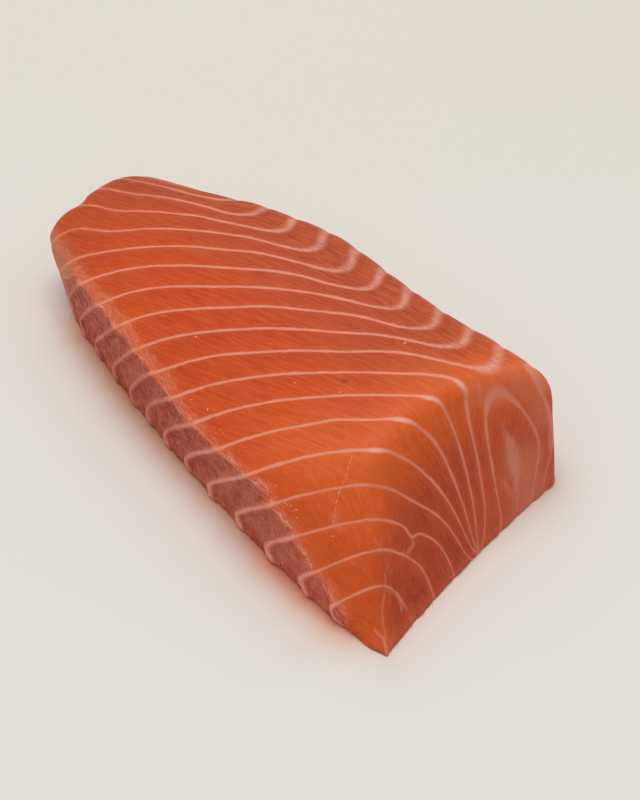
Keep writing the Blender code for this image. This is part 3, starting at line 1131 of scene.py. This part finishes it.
def flesh_material(fibres, fat):
    material = bpy.data.materials.new("salmon_flesh")
    material.use_nodes = True
    tree = material.node_tree
    shader = tree.nodes["Principled BSDF"]
    place = put(tree, "ShaderNodeTexCoord").outputs["Object"]
    mm = put(tree, "ShaderNodeMapping", {"Vector": place, "Scale": (MM_PER_METRE,) * 3}).outputs[0]
    m = {name: attribute(tree, name) for name in marks}
    streak, dash, hair, web = flesh_streaks(tree, fibres, mm, m)
    lines = group(tree, fat, Place=mm, Count=m["sheet_count"], Packing=m["sheet_packing"],
                  Half_thickness=m["fat_half"], Softness=m["fat_soft"],
                  Fray=plus(tree, streak, times(tree, m["hooks"], even(tree, streak, 0.8))))

    base = muscle_colour(tree, mm, m)
    grain = noise(tree, mm, 1.9, 2.0, 0.7)
    strength = plus(tree, 0.20, times(tree, m["hooks"], 0.16), times(tree, m["cut_end"], -0.04))
    toned = mixed(tree, ramp(tree, streak, 0.32, 0.68), mixed(tree, strength, base, STREAK_DARK),
                  mixed(tree, strength, base, STREAK_LIGHT))
    toned = mixed(tree, ramp(tree, grain, 0.5, 0.75, 0.0, 0.12), toned, STREAK_LIGHT)
    toned = mixed(tree, ramp(tree, grain, 0.5, 0.25, 0.0, 0.12), toned, STREAK_DARK)
    base = mixed(tree, m["wall"], toned, torn_colour(tree, mm, m, dash))
    base = film_over(tree, mm, m, web, base)
    base = fat_over(tree, m, lines, streak, hair, base)
    feed(tree, shader.inputs["Base Color"], base)
    shader.inputs["Roughness"].default_value = 0.46
    shader.inputs["Subsurface Weight"].default_value = 0.1
    shader.inputs["Subsurface Radius"].default_value = (1.0, 0.3, 0.15)
    shader.inputs["Subsurface Scale"].default_value = 0.003
    shader.inputs["Specular IOR Level"].default_value = 0.16
    rough = maths(tree, "MULTIPLY_ADD", m["wall"], 0.8, 1.0)
    height = plus(tree, times(tree, streak, rough), times(tree, lines["Fat"], 0.25), times(tree, grain, 0.4))
    bump = put(tree, "ShaderNodeBump", {"Height": height, "Strength": 0.4, "Distance": 0.0003})
    feed(tree, shader.inputs["Normal"], bump.outputs[0])
    return material


fibres = fibre_group()
salmon_flesh = flesh_material(fibres, fat_group())
run_tree(fillet_flesh, relief_tree(), Finish=salmon_flesh)

# %% [markdown]
# ## Laying small things on the flesh
#
# The strands and crumbs below lie on the finished surface, relief and all. A search tree over its
# faces answers two questions for any point nearby: where is the surface, and which way does it
# face. Small things placed by a formula alone would float or sink.

# %% Nearest point on the flesh
surface = BVHTree.FromPolygons(
    [vertex.co for vertex in fillet_flesh.data.vertices],
    [face.vertices for face in fillet_flesh.data.polygons],
)


def on_flesh(p, lift=0.0):
    """The nearest surface point, raised by the lift, and the direction out of the surface."""
    place, out, _, _ = surface.find_nearest(Vector((p - shift) * MM))
    return np.array(place + out * lift * MM) / MM + shift, np.array(out)


print("a point on the crest:", np.round(on_flesh(np.array([40.0, 45.0, 40.0]))[0], 1))

# %% [markdown]
# ## Torn threads
#
# Pulling the fillets apart leaves short threads of tissue along the edge of the film, and a
# cut nick on the tip has bled a broken line of fat. Each thread starts as a chain of points that
# creeps over the surface. The tree turns chains into curves, gives each point its own thickness
# and sweeps a small ring along them, which is how any hair, wire or cord can be made.

# %% Thread chains
THREAD_SEED = 11
THREADS = 230
THREAD_STEP = 0.45
NICK = np.array([
    (94.2, 18.0, 26.5), (95.6, 16.2, 25.3), (96.9, 14.3, 23.7), (97.6, 12.2, 21.8),
    (98.9, 10.6, 19.8), (100.9, 8.5, 16.8),
])


def edge_thread(rng):
    """A chain of points that creeps along the edge of the thin side."""
    start_x = rng.uniform(-24, 84)
    outer_rim = start_x < 45 and rng.random() < 0.5
    inset = rng.normal(2.3, 0.7) if outer_rim else rng.normal(0.3, 0.3)
    p = np.array([start_x, 0.0, top_z(start_x, 0.0)])
    p[1] = thin_side_y(p[0], p[2]) + inset
    heading = math.radians(rng.normal(-8, 14))
    bend = math.radians(rng.normal(0, 5))
    chain = []
    for _ in range(rng.integers(4, 12)):
        p, _ = on_flesh(p, 0.0)
        chain.append(p)
        p = p + THREAD_STEP * np.array([math.cos(heading), math.sin(heading), 0])
        heading += bend
    return chain, rng.uniform(0.025, 0.045)


def nick_dashes(rng):
    """The broken line of fat along the nick, as short dashes."""
    lengths = np.r_[0, np.cumsum(np.linalg.norm(np.diff(NICK, axis=0), axis=1))]
    at = 0.0
    while at < lengths[-1]:
        end = at + rng.uniform(0.6, 1.9)
        chain = []
        for s in np.linspace(at, min(end, lengths[-1]), 5):
            p = np.array([np.interp(s, lengths, NICK[:, axis]) for axis in range(3)])
            chain.append(on_flesh(p + rng.normal(0, 0.05, 3))[0])
        yield chain, rng.uniform(0.13, 0.18)
        at = end + rng.uniform(0.15, 0.7)


rng = np.random.default_rng(THREAD_SEED)
chains = [edge_thread(rng) for _ in range(THREADS)] + list(nick_dashes(rng))
thread_points = np.array([p for chain, _ in chains for p in chain])
thread_edges, thickness, first = [], [], 0
for chain, radius in chains:
    thread_edges += [(first + i, first + i + 1) for i in range(len(chain) - 1)]
    taper = np.sin(math.pi * (np.arange(len(chain)) + 0.5) / len(chain))
    thickness += list(radius * taper**0.6)
    first += len(chain)
torn_threads = object_from("torn_threads", thread_points, [],
                           {"thickness": np.array(thickness) * MM}, thread_edges)
print(len(chains), "threads")

# %% Thread tree


def thread_tree():
    tree, given, result = new_tree(
        "Torn threads", "GeometryNodeTree",
        [("Geometry", GEOMETRY, None), ("Thickness", FLOAT, 1.0), ("Sides", "NodeSocketInt", 4),
         ("Finish", "NodeSocketMaterial", None)],
        [("Geometry", GEOMETRY)])
    curve = put(tree, "GeometryNodeMeshToCurve", {"Mesh": given["Geometry"]}).outputs[0]
    radius = times(tree, mark(tree, "thickness"), given["Thickness"])
    curve = put(tree, "GeometryNodeSetCurveRadius", {"Curve": curve, "Radius": radius}).outputs[0]
    ring = put(tree, "GeometryNodeCurvePrimitiveCircle", {"Resolution": given["Sides"], "Radius": 1.0})
    swept = put(tree, "GeometryNodeCurveToMesh",
                {"Curve": curve, "Profile Curve": ring.outputs[0], "Fill Caps": True})
    if "Scale" in swept.inputs:
        feed(tree, swept.inputs["Scale"], radius)
    real = put(tree, "GeometryNodeRealizeInstances", {"Geometry": swept.outputs[0]})
    finish = put(tree, "GeometryNodeSetMaterial",
                 {"Geometry": real.outputs[0], "Material": given["Finish"]})
    feed(tree, result["Geometry"], finish.outputs[0])
    return tree


def fat_material(name, darker, lighter, fibres):
    """Loose fat: pale, moist, and mottled along its own streaks."""
    material = bpy.data.materials.new(name)
    material.use_nodes = True
    tree = material.node_tree
    shader = tree.nodes["Principled BSDF"]
    place = put(tree, "ShaderNodeTexCoord").outputs["Object"]
    mm = put(tree, "ShaderNodeMapping", {"Vector": place, "Scale": (MM_PER_METRE,) * 3}).outputs[0]
    streak = group(tree, fibres, Place=mm, Spacing=0.3, Stretch=2.0, Curl=0.5)[0]
    shade = ramp(tree, streak, 0.35, 0.65)
    feed(tree, shader.inputs["Base Color"], mixed(tree, shade, darker, lighter))
    shader.inputs["Roughness"].default_value = 0.4
    shader.inputs["Specular IOR Level"].default_value = 0.25
    bump = put(tree, "ShaderNodeBump", {"Height": streak, "Strength": 0.3, "Distance": 0.0001})
    feed(tree, shader.inputs["Normal"], bump.outputs[0])
    return material


thread_fat = fat_material("thread_fat", (0.84, 0.25, 0.12, 1), (0.97, 0.43, 0.24, 1), fibres)
run_tree(torn_threads, thread_tree(), Finish=thread_fat)

# %% [markdown]
# ## Crumbs of fat
#
# Small white crumbs stick to the moist surface, some on the top and more along the torn edge. The
# points carry a size and a direction, and the tree sets a small lumpy ball on each one, pressed
# flat against the flesh. Placing one ball on many points is what instances are for.

# %% Crumb places
CRUMB_SEED = 5
EDGE_CRUMBS, TOP_CRUMBS = 40, 18
KNOWN_CRUMBS = [
    (0.26, (36.8, 12.0, 23.9)), (0.34, (75.8, 45.7, 32.9)), (0.22, (39.6, 4.2, 19.8)),
    (0.20, (56.1, 3.7, 18.8)), (0.22, (90.5, 2.9, 17.7)), (0.24, (93.4, 4.1, 17.3)),
    (0.22, (93.7, 0.0, 2.7)), (0.18, (52.1, 0.1, 16.6)), (0.20, (50.4, 2.6, 18.2)),
    (0.20, (67.6, 20.6, 27.3)), (0.18, (78.1, 25.9, 29.3)), (0.18, (53.7, 20.4, 27.0)),
    (0.15, (92.0, 3.4, 17.8)), (0.13, (94.6, 3.0, 16.6)),
]
rng = np.random.default_rng(CRUMB_SEED)
crumbs = list(KNOWN_CRUMBS)
for _ in range(EDGE_CRUMBS):
    crumb_x = rng.uniform(-20, 112)
    inset = abs(rng.normal(0, 2.2))
    crumbs.append((rng.uniform(0.06, 0.15), (crumb_x, thin_side_y(crumb_x, 17) + inset, 19)))
for _ in range(TOP_CRUMBS):
    crumbs.append((rng.uniform(0.05, 0.12), (rng.uniform(-20, 92), rng.uniform(3, 56), 34)))
crumb_places = [on_flesh(np.array(at, float)) for _, at in crumbs]
crumb_marks = {
    "crumb_size": np.array([size for size, _ in crumbs]) * MM,
    **{f"out_{axis}": np.array([out[i] for _, out in crumb_places]) for i, axis in enumerate("xyz")},
}
fat_crumbs = object_from("fat_crumbs", np.array([p for p, _ in crumb_places]), [], crumb_marks)
print(len(crumbs), "crumbs")

# %% Crumb tree


def crumb_tree():
    tree, given, result = new_tree(
        "Fat crumbs", "GeometryNodeTree",
        [("Geometry", GEOMETRY, None), ("Flatness", FLOAT, 0.55), ("Length", FLOAT, 1.7),
         ("Lumps", FLOAT, 0.00012), ("Seed", "NodeSocketInt", 3), ("Finish", "NodeSocketMaterial", None)],
        [("Geometry", GEOMETRY)])
    ball_node = put(tree, "GeometryNodeMeshIcoSphere", {"Radius": 1.0, "Subdivisions": 2})
    out = put(tree, "ShaderNodeCombineXYZ",
              {i: mark(tree, f"out_{axis}") for i, axis in enumerate("xyz")}).outputs[0]
    turn = put(tree, "FunctionNodeAlignRotationToVector", {"Vector": out}, axis="Z").outputs[0]
    spin = put(tree, "FunctionNodeRandomValue", {"Min": (0, 0, 0), "Max": (0, 0, 2 * math.pi),
               "Seed": given["Seed"]}, data_type="FLOAT_VECTOR").outputs[0]
    turn = put(tree, "FunctionNodeRotateRotation", {0: turn, 1: spin}, rotation_space="LOCAL").outputs[0]
    size = mark(tree, "crumb_size")
    shape = put(tree, "ShaderNodeCombineXYZ", {
        "X": times(tree, size, given["Length"]), "Y": size, "Z": times(tree, size, given["Flatness"]),
    }).outputs[0]
    placed = put(tree, "GeometryNodeInstanceOnPoints", {
        "Points": given["Geometry"], "Instance": ball_node.outputs[0], "Rotation": turn,
        "Scale": shape,
    })
    real = put(tree, "GeometryNodeRealizeInstances", {"Geometry": placed.outputs[0]})
    spot = scaled(tree, put(tree, "GeometryNodeInputPosition").outputs[0], MM_PER_METRE)
    lump = times(tree, even(tree, noise(tree, spot, 3.0, 1.0)), given["Lumps"])
    move = scaled(tree, put(tree, "GeometryNodeInputNormal").outputs[0], lump)
    moved = put(tree, "GeometryNodeSetPosition", {"Geometry": real.outputs[0], "Offset": move})
    finish = put(tree, "GeometryNodeSetMaterial",
                 {"Geometry": moved.outputs[0], "Material": given["Finish"]})
    feed(tree, result["Geometry"], finish.outputs[0])
    return tree


crumb_fat = fat_material("crumb_fat", (0.84, 0.22, 0.09, 1), (0.97, 0.42, 0.23, 1), fibres)
run_tree(fat_crumbs, crumb_tree(), Finish=crumb_fat)

# %% [markdown]
# ## Floor and light
#
# A pale matt floor and one very large soft lamp, high up and far away, give the even light of a
# bright room. A dim white world fills the shadows. Raw fish lets some light through and throws a
# warm tint on what it lies on, so the floor carries that tint as a painted glow, and a brown
# contact shadow as a painted shadow, in marks that fade away from the foot of the fillet.

# %% Floor
FLOOR_HALF = 1.5
SHADE_REACH, FAR_REACH, RED_REACH = 7.0, 4.5, 3.4
FLOOR_COOL, FLOOR_WARM = (0.80, 0.785, 0.745, 1), (0.775, 0.735, 0.665, 1)
FLOOR_SHADE, FLOOR_GLOW = (0.48, 0.245, 0.125, 1), (0.74, 0.20, 0.06, 1)


def floor_material():
    material = bpy.data.materials.new("pale_floor")
    material.use_nodes = True
    tree = material.node_tree
    shader = tree.nodes["Principled BSDF"]
    place = put(tree, "ShaderNodeTexCoord").outputs["Object"]
    parts = put(tree, "ShaderNodeSeparateXYZ", {"Vector": place}).outputs
    away = maths(tree, "SUBTRACT", parts[1], maths(tree, "MULTIPLY", parts[0], 1.4))
    drift = plus(tree, away, even(tree, noise(tree, place, 5.0, 2.0), 0.1))
    base = mixed(tree, ramp(tree, drift, -0.25, 0.35), FLOOR_COOL, FLOOR_WARM)
    # painted shadow near the foot of the fillet, then a painted red glow
    base = mixed(tree, attribute(tree, "shade"), base, FLOOR_SHADE)
    base = mixed(tree, attribute(tree, "red_glow"), base, FLOOR_GLOW)
    feed(tree, shader.inputs["Base Color"], base)
    shader.inputs["Roughness"].default_value = 0.7
    shader.inputs["Specular IOR Level"].default_value = 0.2
    return material


def make_floor():
    fine = np.linspace(-0.13, 0.13, 201)
    coarse_lines = np.array([-FLOOR_HALF, -0.6, -0.25])
    lines = np.r_[coarse_lines, fine, -coarse_lines[::-1]]
    gx, gy = np.meshgrid(lines, lines, indexing="ij")
    points = np.stack([gx.ravel(), gy.ravel(), np.zeros(gx.size)], 1) / MM + shift * [1, 1, 0]
    n = len(lines)
    corner = np.arange(n * n).reshape(n, n)
    faces = np.stack([corner[:-1, :-1], corner[1:, :-1], corner[1:, 1:], corner[:-1, 1:]], -1)
    gap = np.array([surface.find_nearest(Vector((p - shift) * MM))[3] for p in points]) / MM
    torn_side = smooth(points[:, 1], 8, -2) * smooth(points[:, 0], 125, 114)
    far_half = torn_side * smooth(points[:, 0], 75, 20) * smooth(points[:, 0], -22, -4)
    near_tip = torn_side * smooth(points[:, 0], 70, 95) 
    # painted shadow: a brown shade on the floor that fades away from the foot
    shade = (0.06 + 0.20 * torn_side) * np.exp(-gap / SHADE_REACH)
    shade += 0.60 * far_half * np.exp(-gap / FAR_REACH)
    # painted light: a red glow on the floor next to the foot
    glow = (0.22 + 0.34 * torn_side + 0.42 * near_tip - 0.2 * far_half) * np.exp(-gap / RED_REACH)
    made = object_from("floor", points, faces.reshape(-1, 4).tolist(),
                       {"shade": shade, "red_glow": glow})
    made.data.materials.append(floor_material())
    return made


floor = make_floor()
print("floor has", len(floor.data.polygons), "cells")

# %% Light and world


def soft_light(name, place, aim, size, power, colour):
    data = bpy.data.lights.new(name, "AREA")
    data.shape = "DISK"
    data.size = size
    data.energy = power
    data.color = colour
    light = bpy.data.objects.new(name, data)
    light.location = place
    light.rotation_euler = (Vector(place) - Vector(aim)).to_track_quat("Z", "Y").to_euler()
    bpy.context.scene.collection.objects.link(light)
    return light


def soft_world(colour, strength):
    world = bpy.data.worlds.new("soft daylight")
    world.use_nodes = True
    shade = world.node_tree.nodes["Background"]
    shade.inputs["Color"].default_value = colour
    shade.inputs["Strength"].default_value = strength
    bpy.context.scene.world = world


soft_light("window light", (-0.35, 0.15, 2.0), (0, 0, 0.01), 2.0, 26.4, (1.0, 1.0, 1.0))
soft_world((1.0, 0.99, 0.97, 1), 0.44)
bpy.context.scene.view_settings.view_transform = "Standard"
print("one lamp and a world")

# %% [markdown]
# ## Handing the pieces over
#
# The three pieces move with the one body of the block, and the flesh takes the block's place.

# %% Hand the pieces over
for piece in (fillet_flesh, torn_threads, fat_crumbs):
    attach(piece, "root")
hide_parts("fillet")
